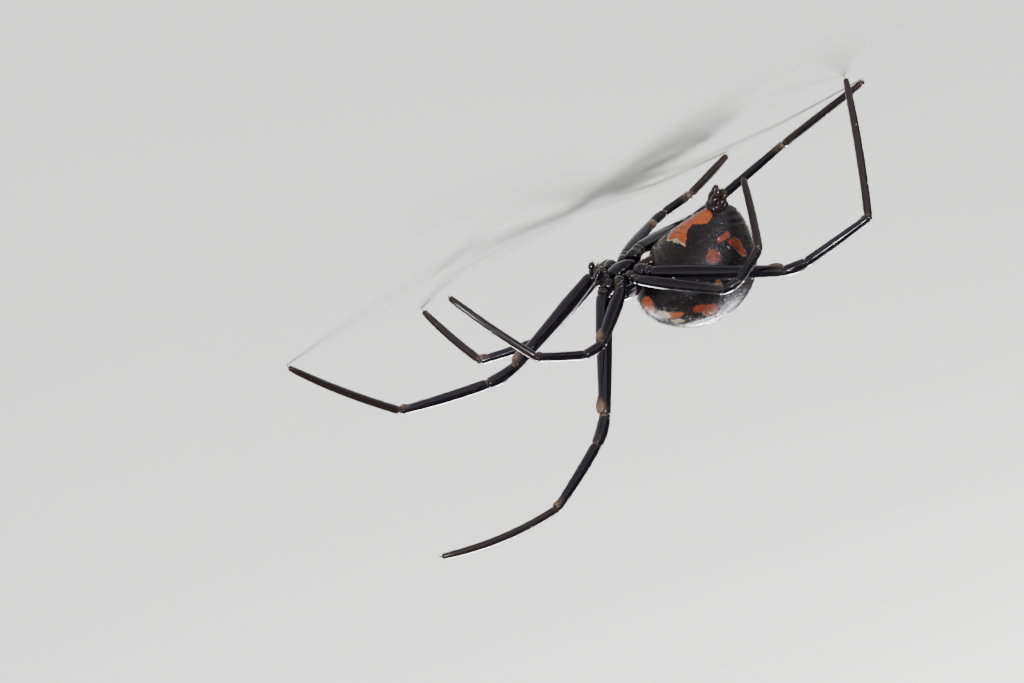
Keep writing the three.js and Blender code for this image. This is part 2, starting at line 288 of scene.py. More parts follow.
# Waist and abdomen
# A short brown stalk carries the abdomen: a soft, tight globe in black skin, low at the rear
# where the spinnerets sit. Red marks edged with cream lie in the skin, the hourglass below.
ABDOMEN_AT = (-3.95, 0.0, 1.95)
ABDOMEN_LONG, ABDOMEN_WIDE, ABDOMEN_UP, ABDOMEN_DOWN = 3.75, 3.1, 3.1, 2.75
ABDOMEN_CORNER, ABDOMEN_TUCK = 1.1, 0.62
# Pairs of small dents in the back: how far forward, and out to the side
MUSCLE_DENTS = ((-2.7, 0.75), (-3.9, 0.95), (-5.2, 0.8))


def abdomen_form(x, y, z):
    low = np.maximum(0, -0.66 * x - 0.75 * z) ** 5
    chin = ABDOMEN_TUCK * smoothstep(x, 0.3, 0.85) * smoothstep(-z, 0.02, 0.4)
    narrow = 1 - 0.25 * low - 0.06 * smoothstep(-x, 0.3, 1) - 0.16 * smoothstep(x, 0.1, 0.8)
    px = ABDOMEN_AT[0] + ABDOMEN_LONG * x - 0.8 * ABDOMEN_CORNER * low - chin
    py = ABDOMEN_WIDE * y * narrow
    pz = ABDOMEN_AT[2] + np.where(z > 0, ABDOMEN_UP, ABDOMEN_DOWN) * z - ABDOMEN_CORNER * low
    dents = 0
    for forward, aside in MUSCLE_DENTS:
        dents = dents + np.exp(-(((px - forward) / 0.16) ** 2) - ((np.abs(py) - aside) / 0.16) ** 2)
    fold = np.exp(-(((px + 2.55) / 0.09) ** 2)) * (1 - smoothstep(np.abs(py), 0.9, 1.4))
    lung = np.exp(-(((px + 2.15) / 0.32) ** 2) - ((np.abs(py) - 0.8) / 0.35) ** 2)
    ring = smoothstep(low, 0.45, 0.6) * 0.035 * np.cos(40 * low)
    inward = 1 - np.where(z > 0.2, 0.022 * dents, 0)
    inward = inward - np.where(z < -0.2, 0.03 * fold - 0.012 * lung, 0) - 0.15 * ring
    return tuple(m + (p - m) * inward for p, m in zip((px, py, pz), ABDOMEN_AT))


def ring_tube(centres, radii, up, sides):
    """A closed round tube through centres. Returns points, faces, lie and unwrap."""
    centres, radii = np.asarray(centres, float), np.asarray(radii, float)
    lie = np.gradient(centres, axis=0)
    lie /= np.linalg.norm(lie, axis=1)[:, None]
    rise = np.asarray(up, float) - lie * (lie @ np.asarray(up, float))[:, None]
    rise /= np.linalg.norm(rise, axis=1)[:, None]
    aside = np.cross(lie, rise)
    turn = np.linspace(0, 2 * np.pi, sides, endpoint=False)
    across = aside[:, None] * np.cos(turn)[:, None] + rise[:, None] * np.sin(turn)[:, None]
    points = (centres[:, None] + across * radii[:, None, None]).reshape(-1, 3)
    points = np.vstack([points, centres[0], centres[-1]])
    rings, faces = len(centres), []
    first, last = rings * sides, rings * sides + 1
    for j in range(sides):
        k = (j + 1) % sides
        faces.append((first, j, k))
        faces.append((last, (rings - 1) * sides + k, (rings - 1) * sides + j))
        for i in range(rings - 1):
            a, b = i * sides, (i + 1) * sides
            faces.append((a + j, b + j, b + k, a + k))
    shares = np.linspace(0, 1, rings)
    unwrap = np.stack([np.repeat(shares, sides), np.tile(turn / (2 * np.pi), rings)], axis=1)
    unwrap = np.vstack([unwrap, (0, 0), (1, 0)])
    lies = np.vstack([np.repeat(lie, sides, axis=0), lie[0], lie[-1]])
    return points, faces, lies, np.column_stack([unwrap, np.zeros(len(unwrap))])


def limb(a, b, profile, up, rings, sides, bow=0.0):
    """A tube from a to b with rounded ends, and each point's share of the way along.

    profile lists (share of length, radius), and bow is the bend towards up as a share of length.
    """
    a, b = np.asarray(a, float), np.asarray(b, float)
    length = np.linalg.norm(b - a)
    shares = 0.5 - 0.5 * np.cos(np.linspace(0.04, 1, rings) * np.pi * 0.985)
    shares = np.concatenate([[0.0], shares])
    knots = np.array(profile)
    radii = np.interp(shares, knots[:, 0], knots[:, 1])
    radii = np.convolve(np.pad(radii, 2, mode="edge"), [0.1, 0.2, 0.4, 0.2, 0.1], mode="valid")
    for end, radius in ((shares, knots[0, 1]), (1 - shares, knots[-1, 1])):
        cap = 0.45 * radius / length
        radii *= np.sqrt(np.clip(1 - np.clip(1 - end / cap, 0, 1) ** 2, 0.02, 1))
    out = np.asarray(up, float)
    bend = 4 * shares * (1 - shares) * bow * length
    centres = a + (b - a) * shares[:, None] + out * bend[:, None]
    return ring_tube(centres, radii, up, sides), np.append(np.repeat(shares, sides), (0, 1))


WAIST_FROM, WAIST_TO, WAIST_Z, WAIST_RADIUS = -1.2, -2.15, -0.05, 0.38
brown_shell = cuticle("brown_shell", (0.009, 0.005, 0.006), (0.07, 0.032, 0.016), 0.22)
stalk = Joined()
stalk_steps = np.linspace(WAIST_FROM, WAIST_TO, 14)
stalk_radii = WAIST_RADIUS * (0.95 + 0.05 * np.cos(np.linspace(0, 6 * np.pi, 14)))
stalk_line = np.column_stack([stalk_steps, 0 * stalk_steps, WAIST_Z + 0 * stalk_steps])
stalk.add(*ring_tube(stalk_line, stalk_radii, (0, 0, 1), 28)[:2], thin=0.3)
stalk.piece("waist", brown_shell, "shell_brown", ["pedicel"], lift=on_trunk)

RED_MARK, ORANGE_MARK, CREAM_MARK = (0.29, 0.045, 0.014), (0.5, 0.1, 0.02), (0.6, 0.48, 0.3)
BLACK_SKIN, WORN_SKIN = (0.005, 0.004, 0.005), (0.018, 0.013, 0.011)
# The light brown flecks are partly the grain of brown hairs and partly painted glints of the hairs' sheen;
# the dark specks are grain
FLECK_AND_GLINT, DUST = (0.07, 0.052, 0.037), (0.012, 0.008, 0.007)
# Half-width of the hourglass at places along the belly, in millimetres from the carapace's middle
HOURGLASS = (
    (-6.45, 0.0), (-6.25, 0.72), (-5.85, 0.95), (-5.4, 0.72), (-5.0, 0.47), (-4.72, 0.52),
    (-4.3, 1.2), (-4.05, 1.42), (-3.85, 1.05), (-3.4, 0.2), (-3.25, 0.0),
)
# Marks on the flanks and back, the same on both sides: middle (forward, aside, up), reach, colour
FLANK_MARKS = (
    ((-5.3, 2.3, 0.35), (0.42, 0.5, 0.4), RED_MARK),
    ((-6.35, 1.6, -0.1), (0.45, 0.4, 0.17), RED_MARK),
    ((-6.8, 1.65, 0.75), (0.4, 0.22, 0.85), RED_MARK),
    ((-4.85, 3.0, 1.9), (0.14, 0.5, 0.45), ORANGE_MARK),
    ((-3.75, 2.85, 3.1), (0.5, 0.9, 0.55), RED_MARK),
    ((-3.2, 2.8, 2.65), (0.45, 0.9, 0.3), RED_MARK),
    ((-0.55, 1.05, 1.95), (0.5, 0.55, 0.7), ORANGE_MARK),
    ((-1.75, 2.1, 2.75), (0.55, 0.6, 0.26), ORANGE_MARK),
    ((-1.2, 1.55, 2.6), (0.5, 0.42, 0.38), CREAM_MARK),
    ((-1.75, 1.7, 3.3), (0.42, 0.6, 0.28), CREAM_MARK),
    ((-2.7, 0.0, 4.95), (0.42, 0.4, 0.8), RED_MARK),
    ((-4.1, 0.0, 5.1), (0.46, 0.36, 0.8), RED_MARK),
    ((-5.5, 0.0, 4.75), (0.42, 0.3, 0.8), RED_MARK),
    ((-6.75, 0.0, 3.9), (0.6, 0.26, 0.7), RED_MARK),
)


def maths_in(tree):
    """A function that adds a sum to a node tree, from numbers or other nodes' results."""
    def maths(operation, *values, clamp=False):
        node = tree.nodes.new("ShaderNodeMath")
        node.operation, node.use_clamp = operation, clamp
        for socket, value in zip(node.inputs, values):
            if isinstance(value, (int, float)):
                socket.default_value = value
            else:
                tree.links.new(value, socket)
        return node.outputs["Value"]

    return maths


def abdomen_skin_material():
    """Black skin with a fine nap, and marks set in the trunk's own millimetres."""
    made = bpy.data.materials.new("abdomen_skin")
    made.use_nodes = True
    nodes, links = made.node_tree.nodes, made.node_tree.links
    maths = maths_in(made.node_tree)
    skin = nodes["Principled BSDF"]

    def past(value, start, steepness):
        """0 up to start, then rising to 1."""
        return maths("MULTIPLY", maths("SUBTRACT", value, start), steepness, clamp=True)

    def short_of(value, end, steepness):
        """Falling to 0 at end, and 0 from there on."""
        return maths("MULTIPLY", maths("SUBTRACT", end, value), steepness, clamp=True)

    def vectors(operation, first, second, out="Vector"):
        node = nodes.new("ShaderNodeVectorMath")
        node.operation = operation
        for socket, value in zip(node.inputs, (first, second)):
            if isinstance(value, tuple):
                socket.default_value = value
            elif value is not None:
                links.new(value, socket)
        return node.outputs[out]

    def noise(size, detail, kind="Fac"):
        node = nodes.new("ShaderNodeTexNoise")
        node.inputs["Scale"].default_value = 1 / size
        node.inputs["Detail"].default_value = detail
        links.new(trunk_place, node.inputs["Vector"])
        return node.outputs[kind]

    def painted(under, over, mask):
        node = nodes.new("ShaderNodeMix")
        node.data_type = "RGBA"
        for socket, value in ((node.inputs["A"], under), (node.inputs["B"], over)):
            if isinstance(value, tuple):
                socket.default_value = (*value, 1)
            else:
                links.new(value, socket)
        links.new(mask, node.inputs["Factor"])
        return node.outputs["Result"]

    place = nodes.new("ShaderNodeTexCoord")
    to_trunk = nodes.new("ShaderNodeMapping")
    to_trunk.inputs["Scale"].default_value = (1 / MM,) * 3
    to_trunk.inputs["Rotation"].default_value = (-TRUNK_ROLL, 0, 0)
    to_trunk.inputs["Location"].default_value = -(TRUNK.to_3x3().inverted() @ TRUNK_AT)
    links.new(place.outputs["Object"], to_trunk.inputs["Vector"])
    trunk_place = to_trunk.outputs["Vector"]

    wander = vectors("SUBTRACT", noise(0.55, 3, "Color"), (0.5, 0.5, 0.5))
    ragged = vectors("SUBTRACT", noise(0.16, 2, "Color"), (0.5, 0.5, 0.5))
    moved = vectors("ADD", trunk_place, vectors("MULTIPLY", wander, (0.42, 0.42, 0.42)))
    moved = vectors("ADD", moved, vectors("MULTIPLY", ragged, (0.2, 0.2, 0.2)))
    axes = nodes.new("ShaderNodeSeparateXYZ")
    links.new(moved, axes.inputs["Vector"])
    forward, up = axes.outputs["X"], axes.outputs["Z"]
    aside = maths("ABSOLUTE", axes.outputs["Y"])
    folded = nodes.new("ShaderNodeCombineXYZ")
    for value, key in ((forward, "X"), (aside, "Y"), (up, "Z")):
        links.new(value, folded.inputs[key])

    def hourglass(shift):
        curve = nodes.new("ShaderNodeFloatCurve")
        low, high, tall = HOURGLASS[0][0], HOURGLASS[-1][0], 1.6
        line = curve.mapping.curves[0]
        for count, (x, half) in enumerate(HOURGLASS):
            spot = ((x - low) / (high - low), half / tall)
            if count in (0, len(HOURGLASS) - 1):
                line.points[0 if count == 0 else -1].location = spot
            else:
                line.points.new(*spot)
        for point in line.points:
            point.handle_type = "VECTOR"
        curve.mapping.update()
        share = maths("DIVIDE", maths("SUBTRACT", maths("ADD", forward, shift), low), high - low)
        links.new(share, curve.inputs["Value"])
        spare = maths("SUBTRACT", maths("MULTIPLY", curve.outputs["Value"], tall), aside)
        return maths("MULTIPLY", past(spare, 0.0, 14.0), short_of(up, 0.4, 5.0))

    speck = noise(0.07, 2)
    cloud = noise(1.1, 4)
    colour = painted(BLACK_SKIN, WORN_SKIN, maths("POWER", cloud, 2.2))
    for centre, reach, tint in FLANK_MARKS:
        off = vectors("DIVIDE", vectors("SUBTRACT", folded.outputs["Vector"], centre), reach)
        far = vectors("LENGTH", off, None, "Value")
        if tint != CREAM_MARK:
            halo = maths("MULTIPLY", short_of(far, 1.22, 5.0), past(cloud, 0.46, 5.0))
            colour = painted(colour, CREAM_MARK, maths("MULTIPLY", halo, 0.55))
        colour = painted(colour, tint, short_of(far, 1.06, 4.0))
    whole, edge = hourglass(0.0), hourglass(0.16)
    colour = painted(colour, ORANGE_MARK, whole)
    cream = maths("MULTIPLY", whole, maths("SUBTRACT", 1.0, edge))
    colour = painted(colour, CREAM_MARK, maths("MULTIPLY", cream, past(forward, -4.3, 6.0)))
    # Light brown flecks over the whole skin: partly hair grain, partly painted glints of the hairs' sheen
    colour = painted(colour, FLECK_AND_GLINT, maths("MULTIPLY", short_of(speck, 0.42, 10.0), 0.5))
    colour = painted(colour, DUST, maths("MULTIPLY", past(speck, 0.53, 9.0), 0.85))
    links.new(colour, skin.inputs["Base Color"])

    rough = nodes.new("ShaderNodeMapRange")
    rough.inputs["To Min"].default_value, rough.inputs["To Max"].default_value = 0.16, 0.34
    links.new(cloud, rough.inputs["Value"])
    links.new(rough.outputs["Result"], skin.inputs["Roughness"])
    bump = nodes.new("ShaderNodeBump")
    bump.inputs["Strength"].default_value = 0.8
    bump.inputs["Distance"].default_value = 0.03 * MM
    links.new(maths("ADD", speck, maths("MULTIPLY", noise(0.3, 3), 0.8)), bump.inputs["Height"])
    links.new(bump.outputs["Normal"], skin.inputs["Normal"])
    skin.inputs["Specular IOR Level"].default_value = 0.42
    skin.inputs["Specular Tint"].default_value = (0.86, 0.84, 1.0, 1)
    skin.inputs["Coat Weight"].default_value = 0.12
    skin.inputs["Coat Roughness"].default_value = 0.2
    return made


globe = Joined()
globe_points, globe_faces = drawn_ball(abdomen_form, 160, 130)
from_middle = globe_points - np.array(ABDOMEN_AT)
distance = np.linalg.norm(from_middle, axis=1)
lean_out = from_middle * from_middle[:, :1] / np.sum(from_middle**2, axis=1)[:, None]
lie_back = (np.array((-1.0, 0, 0)) + lean_out) @ TRUNK_TURN
hairy = 0.35 + 0.65 * smoothstep(distance, 1.0, 2.0)
around = np.arctan2(from_middle[:, 2], from_middle[:, 1]) / (2 * np.pi) + 0.5
along = np.arccos(np.clip(from_middle[:, 0] / distance, -1, 1)) / np.pi
globe.add(globe_points, globe_faces, bristly=hairy, lie=lie_back,
          unwrap=np.column_stack([along, around, 0 * along]))
abdomen = globe.piece("abdomen", abdomen_skin_material(), "abdomen_skin", ["abdomen"], lift=on_trunk)


# How far a bristle strays from the way it should point, the shortest and longest beside the length
# asked for, and the lowest that any may reach over the floor
BRISTLE_STRAY, BRISTLE_SIZES, BRISTLE_LOWEST = 0.16, (0.55, 1.15), 0.002


def bristle_tree():
    """Bristles scattered over a skin, leaning the way that the skin's Lie attribute points."""
    tree = bpy.data.node_groups.new("bristles", "GeometryNodeTree")
    face = tree.interface
    face.new_socket("Skin", in_out="INPUT", socket_type="NodeSocketGeometry")
    for name in ("Density", "Length", "Thickness", "Lean", "Curl"):
        face.new_socket(name, in_out="INPUT", socket_type="NodeSocketFloat")
    face.new_socket("Seed", in_out="INPUT", socket_type="NodeSocketInt")
    face.new_socket("Finish", in_out="INPUT", socket_type="NodeSocketMaterial")
    face.new_socket("Coat", in_out="OUTPUT", socket_type="NodeSocketGeometry")
    nodes, links, maths = tree.nodes, tree.links, maths_in(tree)
    given, made = nodes.new("NodeGroupInput"), nodes.new("NodeGroupOutput")

    def named(name, kind):
        node = nodes.new("GeometryNodeInputNamedAttribute")
        node.data_type = kind
        node.inputs["Name"].default_value = name
        return node.outputs["Attribute"]

    def vectors(operation, first, second):
        node = nodes.new("ShaderNodeVectorMath")
        node.operation = operation
        links.new(first, node.inputs[0])
        target = node.inputs["Scale"] if operation == "SCALE" else node.inputs[1]
        if isinstance(second, float):
            target.default_value = second
        else:
            links.new(second, target)
        return node.outputs["Vector"]

    scatter = nodes.new("GeometryNodeDistributePointsOnFaces")
    links.new(given.outputs["Skin"], scatter.inputs["Mesh"])
    thickly = maths("MULTIPLY", given.outputs["Density"], named("Bristly", "FLOAT"))
    links.new(thickly, scatter.inputs["Density"])
    links.new(given.outputs["Seed"], scatter.inputs["Seed"])

    stray = nodes.new("FunctionNodeRandomValue")
    stray.data_type = "FLOAT_VECTOR"
    stray.inputs[0].default_value = (-BRISTLE_STRAY,) * 3
    stray.inputs[1].default_value = (BRISTLE_STRAY,) * 3
    links.new(given.outputs["Seed"], stray.inputs["Seed"])
    upright = vectors("SCALE", scatter.outputs["Normal"], maths("SUBTRACT", 1.0, given.outputs["Lean"]))
    leaning = vectors("SCALE", named("Lie", "FLOAT_VECTOR"), given.outputs["Lean"])
    pointing = vectors("ADD", vectors("ADD", upright, leaning), stray.outputs[0])
    align = nodes.new("FunctionNodeAlignRotationToVector")
    links.new(pointing, align.inputs["Vector"])
    settle = nodes.new("FunctionNodeAlignRotationToVector")
    settle.axis, settle.pivot_axis = "X", "Z"
    links.new(align.outputs["Rotation"], settle.inputs["Rotation"])
    links.new(named("Lie", "FLOAT_VECTOR"), settle.inputs["Vector"])

    spike = nodes.new("GeometryNodeMeshCone")
    spike.inputs["Vertices"].default_value = 3
    spike.inputs["Side Segments"].default_value = 2
    links.new(given.outputs["Thickness"], spike.inputs["Radius Bottom"])
    links.new(maths("MULTIPLY", given.outputs["Thickness"], 0.08), spike.inputs["Radius Top"])
    links.new(given.outputs["Length"], spike.inputs["Depth"])
    position = nodes.new("GeometryNodeInputPosition")
    axes = nodes.new("ShaderNodeSeparateXYZ")
    links.new(position.outputs["Position"], axes.inputs["Vector"])
    share = maths("DIVIDE", axes.outputs["Z"], given.outputs["Length"])
    furthest = maths("MULTIPLY", given.outputs["Length"], given.outputs["Curl"])
    sweep = maths("MULTIPLY", maths("MULTIPLY", share, share), furthest)
    shift = nodes.new("ShaderNodeCombineXYZ")
    links.new(sweep, shift.inputs["X"])
    curve = nodes.new("GeometryNodeSetPosition")
    links.new(spike.outputs["Mesh"], curve.inputs["Geometry"])
    links.new(shift.outputs["Vector"], curve.inputs["Offset"])
    local = nodes.new("ShaderNodeCombineXYZ")
    links.new(share, local.inputs["X"])
    links.new(maths("DIVIDE", axes.outputs["Y"], given.outputs["Thickness"]), local.inputs["Y"])
    patch = nodes.new("GeometryNodeStoreNamedAttribute")
    patch.data_type, patch.domain = "FLOAT_VECTOR", "POINT"
    patch.inputs["Name"].default_value = "Patch"
    links.new(curve.outputs["Geometry"], patch.inputs["Geometry"])
    links.new(local.outputs["Vector"], patch.inputs["Value"])

    size = nodes.new("FunctionNodeRandomValue")
    size.inputs[2].default_value, size.inputs[3].default_value = BRISTLE_SIZES
    links.new(given.outputs["Seed"], size.inputs["Seed"])
    plant = nodes.new("GeometryNodeInstanceOnPoints")
    links.new(scatter.outputs["Points"], plant.inputs["Points"])
    links.new(patch.outputs["Geometry"], plant.inputs["Instance"])
    links.new(settle.outputs["Rotation"], plant.inputs["Rotation"])
    links.new(size.outputs[1], plant.inputs["Scale"])

    real = nodes.new("GeometryNodeRealizeInstances")
    links.new(plant.outputs["Instances"], real.inputs["Geometry"])
    bake = nodes.new("GeometryNodeStoreNamedAttribute")
    bake.data_type, bake.domain = "FLOAT2", "CORNER"
    bake.inputs["Name"].default_value = "OFBake"
    root_place = vectors("SCALE", named("Unwrap", "FLOAT_VECTOR"), 0.99)
    spread = vectors("SCALE", named("Patch", "FLOAT_VECTOR"), 0.003)
    links.new(real.outputs["Geometry"], bake.inputs["Geometry"])
    links.new(vectors("ADD", root_place, spread), bake.inputs["Value"])
    finish = nodes.new("GeometryNodeSetMaterial")
    links.new(bake.outputs["Geometry"], finish.inputs["Geometry"])
    links.new(given.outputs["Finish"], finish.inputs["Material"])
    links.new(finish.outputs["Geometry"], made.inputs["Coat"])
    return tree


BRISTLES = bristle_tree()


def grow(name, skin, slot, finish, **sizes):
    """Grow a coat of bristles on a finished skin and keep it as a plain mesh of its own."""
    bed = bpy.data.objects.new(name, skin.data)
    bpy.context.scene.collection.objects.link(bed)
    growth = bed.modifiers.new("growth", "NODES")
    growth.node_group = BRISTLES
    sockets = {s.name: s.identifier for s in BRISTLES.interface.items_tree if s.in_out == "INPUT"}
    for key, value in {**sizes, "Finish": finish}.items():
        growth[sockets[key]] = value
    bpy.context.view_layer.update()
    ready = bed.evaluated_get(bpy.context.evaluated_depsgraph_get())
    mesh = bpy.data.meshes.new_from_object(ready)
    mesh.name = name
    spots = np.empty(len(mesh.vertices) * 3, dtype=np.float32)
    mesh.vertices.foreach_get("co", spots)
    spots[2::3] = np.maximum(spots[2::3], BRISTLE_LOWEST * MM)
    mesh.vertices.foreach_set("co", spots)
    bpy.data.objects.remove(bed)
    coat = bpy.data.objects.new(name, mesh)
    bpy.context.scene.collection.objects.link(coat)
    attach(coat, "root")
    return coat


nap = cuticle("nap", (0.045, 0.034, 0.026), AMBER_SHELL, 0.2)
grow("abdomen_nap", abdomen, "abdomen_skin", nap, Density=7e7, Length=0.2 * MM, Thickness=0.011 * MM,
     Lean=0.72, Curl=0.35, Seed=3)

# Spinnerets
# Three pairs of short two-part nozzles that spin the silk, and a small knob behind them, on a
# mound at the low rear corner of the abdomen. They are brown shell with fine hairs at each tip.
SPINNERETS_AT, SPINNERETS_TILT = (-6.75, 0.0, -1.35), math.radians(40)
SPINNERET_BASE, SPINNERET_TIP = 1.05, 1.1
# Each pair: how far back of the mound's middle, out to the side, share of full length, and radius
SPINNERETS = ((-0.22, 0.27, 1.0, 0.3), (0.24, 0.25, 0.86, 0.26), (0.02, 0.1, 0.62, 0.13))
away = np.array((-math.sin(SPINNERETS_TILT), 0.0, -math.cos(SPINNERETS_TILT)))
across_tail = np.array((-math.cos(SPINNERETS_TILT), 0.0, math.sin(SPINNERETS_TILT)))


def scaled(profile, radius):
    """A profile in millimetres from one whose radii are shares of a radius."""
    return [(share, radius * part) for share, part in profile]


def add_tube(parts, tube, thin, hair):
    """Add a tube drawn in the trunk's own axes, with bristles lying along it."""
    points, faces, lie, unwrap = tube
    parts.add(points, faces, thin=thin, bristly=hair, lie=lie @ TRUNK_TURN, unwrap=unwrap)


tail = Joined()
root = np.array(SPINNERETS_AT) - 0.3 * away
mound, _ = limb(root, root + 0.72 * away, [(0, 0.66), (0.5, 0.64), (1, 0.52)], across_tail, 16, 36)
add_tube(tail, mound, 0.15, 0.6)
for side in (1, -1):
    for back, out, reach, thick in SPINNERETS:
        start = root + np.array((0, side * out, 0)) + back * across_tail + 0.45 * away
        knee = start + 0.62 * reach * SPINNERET_BASE * away + np.array((0, side * 0.05, 0))
        tip = start + reach * SPINNERET_TIP * away + np.array((0, -side * 0.04, 0))
        stout = scaled([(0, 0.95), (0.6, 1), (1, 0.86)], thick)
        slim = scaled([(0, 0.78), (0.5, 0.7), (1, 0.42)], thick)
        base, _ = limb(start, knee, stout, across_tail, 14, 22)
        add_tube(tail, base, 0.2, 1.0)
        nozzle, _ = limb(knee - 0.06 * away, tip, slim, across_tail, 14, 20)
        add_tube(tail, nozzle, 0.4, 1.4)
knob_root = root + 0.55 * across_tail
knob_profile = [(0, 0.26), (0.6, 0.22), (1, 0.12)]
knob, _ = limb(knob_root, knob_root + 0.75 * away, knob_profile, across_tail, 14, 22)
add_tube(tail, knob, 0.25, 1.0)
spinnerets = tail.piece("spinnerets", brown_shell, "shell_brown", ["spinnerets"], lift=on_trunk)

# Jaws and feelers
# The jaws hang side by side under the front of the head, each a stout hinged base with a small
# curved fang. The two short jointed feelers beside them end in a bristly tip with a claw.
JAW_AT, JAW_LENGTH, JAW_RADIUS, JAW_LEAN = (1.27, 0.3, 0.25), 1.58, 0.29, math.radians(-8)
JAW_PROFILE = ((0, 0.8), (0.2, 1.02), (0.6, 0.92), (0.9, 0.7), (1, 0.42))
FANG_ROOT, FANG_RADIUS = (0.05, 0.0, 0.1), 0.1
PALP_ROOT, PALP_BEND, PALP_END = (0.8, 0.52, -0.74), (1.42, 0.85, -0.6), (1.18, 0.72, -1.42)
PALP_RADIUS = 0.23


def sweep_line(start, along, curl, steps):
    """Points from start, straight along at first and then curling over."""
    share = np.linspace(0, 1, steps)[:, None]
    return start + share * np.array(along) + share**2 * np.array(curl)


for side_name, side in (("left", 1), ("right", -1)):
    jaw = Joined()
    top = np.array((JAW_AT[0], side * JAW_AT[1], JAW_AT[2]))
    down = np.array((math.sin(JAW_LEAN), 0.0, -math.cos(JAW_LEAN)))
    end = top + JAW_LENGTH * down
    part, _ = limb(top - 0.1 * down, end, scaled(JAW_PROFILE, JAW_RADIUS), (1, 0, 0), 26, 26, bow=0.03)
    add_tube(jaw, part, 0.0, 0.5)
    fang_line = sweep_line(end + np.array(FANG_ROOT), (-0.2, -side * 0.1, -0.3), (-0.08, 0, 0.03), 12)
    fang_radii = FANG_RADIUS * (1 - np.linspace(0, 1, 12) ** 1.5) + 0.012
    jaw.add(*ring_tube(fang_line, fang_radii, (1, 0, 0), 12)[:2], thin=0.75)
    jaw_piece = jaw.piece(f"jaw_{side_name}", black_shell, "shell_black",
                          [f"chelicera_{side_name}"], lift=on_trunk)

    feeler = Joined()
    root, bend, end = (np.array((x, side * y, z)) for x, y, z in (PALP_ROOT, PALP_BEND, PALP_END))
    wrist = (bend + end) / 2 + np.array((0.12, 0, 0))
    for a, b, profile, hair in (
        (root, bend, ((0, 0.85), (0.6, 1), (1, 0.85)), 0.5),
        (bend - 0.02, wrist, ((0, 0.75), (0.3, 0.95), (1, 0.85)), 1.0),
        (wrist, end, ((0, 0.75), (0.35, 0.9), (0.8, 0.62), (1, 0.3)), 1.6),
    ):
        part, shares = limb(a, b, scaled(profile, PALP_RADIUS), (0.6, 0, 0.8), 22, 20)
        add_tube(feeler, part, 0.2 * smoothstep(shares, 0.86, 1), hair)
    claw_line = sweep_line(end, (0.02, 0, -0.16), (-0.09, 0, 0), 8)
    feeler.add(*ring_tube(claw_line, np.linspace(0.035, 0.006, 8), (1, 0, 0), 8)[:2], thin=0.8)
    palp_piece = feeler.piece(f"palp_{side_name}", black_shell, "shell_black",
                              [f"palp_{side_name}"], lift=on_trunk)
    grow(f"palp_{side_name}_bristles", palp_piece, "shell_black", nap, Density=4.5e7, Length=0.3 * MM,
         Thickness=0.008 * MM, Lean=0.7, Curl=0.2, Seed=11)
    grow(f"jaw_{side_name}_bristles", jaw_piece, "shell_black", nap, Density=3.0e7, Length=0.22 * MM,
         Thickness=0.008 * MM, Lean=0.6, Curl=0.2, Seed=12)
grow("spinneret_hairs", spinnerets, "shell_brown", nap, Density=3.5e7, Length=0.2 * MM,
     Thickness=0.007 * MM, Lean=0.7, Curl=0.2, Seed=13)

# Legs
# Eight slender legs of seven segments: coxa, trochanter, femur, patella and tibia, and then the
# metatarsus and tarsus as one bowed foot with three small claws. Amber skin shows at each joint.
LEG_RADIUS = {1: 0.5, 2: 0.44, 3: 0.38, 4: 0.47}
PATELLA_LENGTH = {1: 1.9, 2: 1.35, 3: 1.1, 4: 1.35}
# How far the patella turns from the line of the femur to that of the tibia
PATELLA_TURN = 0.62
SHANK_LEAST, HEEL_LEAST = 0.29, 0.26
SOLE_HEIGHT, HIP_DROP = 0.17, -0.3
# Where each pair starts and where its coxa ends on the trunk: forward, and out to the side
COXA_ROOT = {1: (0.7, 0.62), 2: (0.2, 0.78), 3: (-0.35, 0.78), 4: (-0.9, 0.7)}
HIP = {1: (1.5, 1.35), 2: (0.4, 1.9), 3: (-0.72, 1.8), 4: (-1.62, 1.72)}
# Each leg's knee, ankle and toe in the model's millimetres, before centring, and its foot's bow
POSE = {
    "left_1": ((7.14, 1.6, 5.99), (14.34, 2.4, 5.14), (19.0, -1.0, 0), 0.025),
    "left_2": ((4.29, 3.8, 4.9), (8.81, 5.2, 4.4), (10.5, 5.8, 0), 0.02),
    "left_3": ((-4.05, 5.3, 1.75), (-6.87, 6.4, 1.16), (-9.82, 5.6, 0), 0.02),
    "left_4": ((-6.36, 6.8, 2.55), (-13.19, 6.8, 1.0), (-18.94, 3.6, 0), 0.015),
    "right_1": ((3.8, -2.4, 11.31), (8.75, -5.2, 15.05), (15.9, -7.6, 14.64), 0.048),
    "right_2": ((2.1, -4.0, 7.61), (5.77, -6.0, 6.7), (8.7, -6.6, 1.33), 0.02),
    "right_3": ((-5.73, -4.9, 8.1), (-8.61, -5.4, 6.95), (-9.73, -4.0, 2.74), 0.012),
    "right_4": ((-9.4, -4.75, 8.7), (-15.15, -4.5, 8.16), (-17.76, -3.2, 0), 0.012),
}
# Thickness along each segment: share of the way along, and share of the leg's radius
COXA_PROFILE = ((0, 0.86), (0.5, 1), (1, 0.82))
TROCHANTER_PROFILE = ((0, 0.7), (0.5, 0.85), (1, 0.74))
FEMUR_PROFILE = ((0, 0.7), (0.05, 0.84), (0.32, 1), (0.7, 0.84), (0.92, 0.74), (0.97, 0.77), (1, 0.7))
BULB_PROFILE = ((0, 0.1), (0.3, 0.5), (0.68, 0.96), (0.86, 0.95), (1, 0.62))
# Thickness along a foot: share of the way along, and radius. It dips at the last joint.
FOOT_PROFILE = (
    (0, 0.21), (0.03, 0.25), (0.4, 0.245), (0.7, 0.235), (0.73, 0.215), (0.76, 0.23), (0.93, 0.2), (1, 0.16),
)
FOOT_JOINT_RADIUS, CLAW_RADIUS, CLAW_LOWEST = 0.23, 0.032, 0.004
# How far each claw leans aside, and its length
CLAWS = ((1, 0.24), (-1, 0.24), (0, 0.14))


def unit(v):
    return v / np.linalg.norm(v)


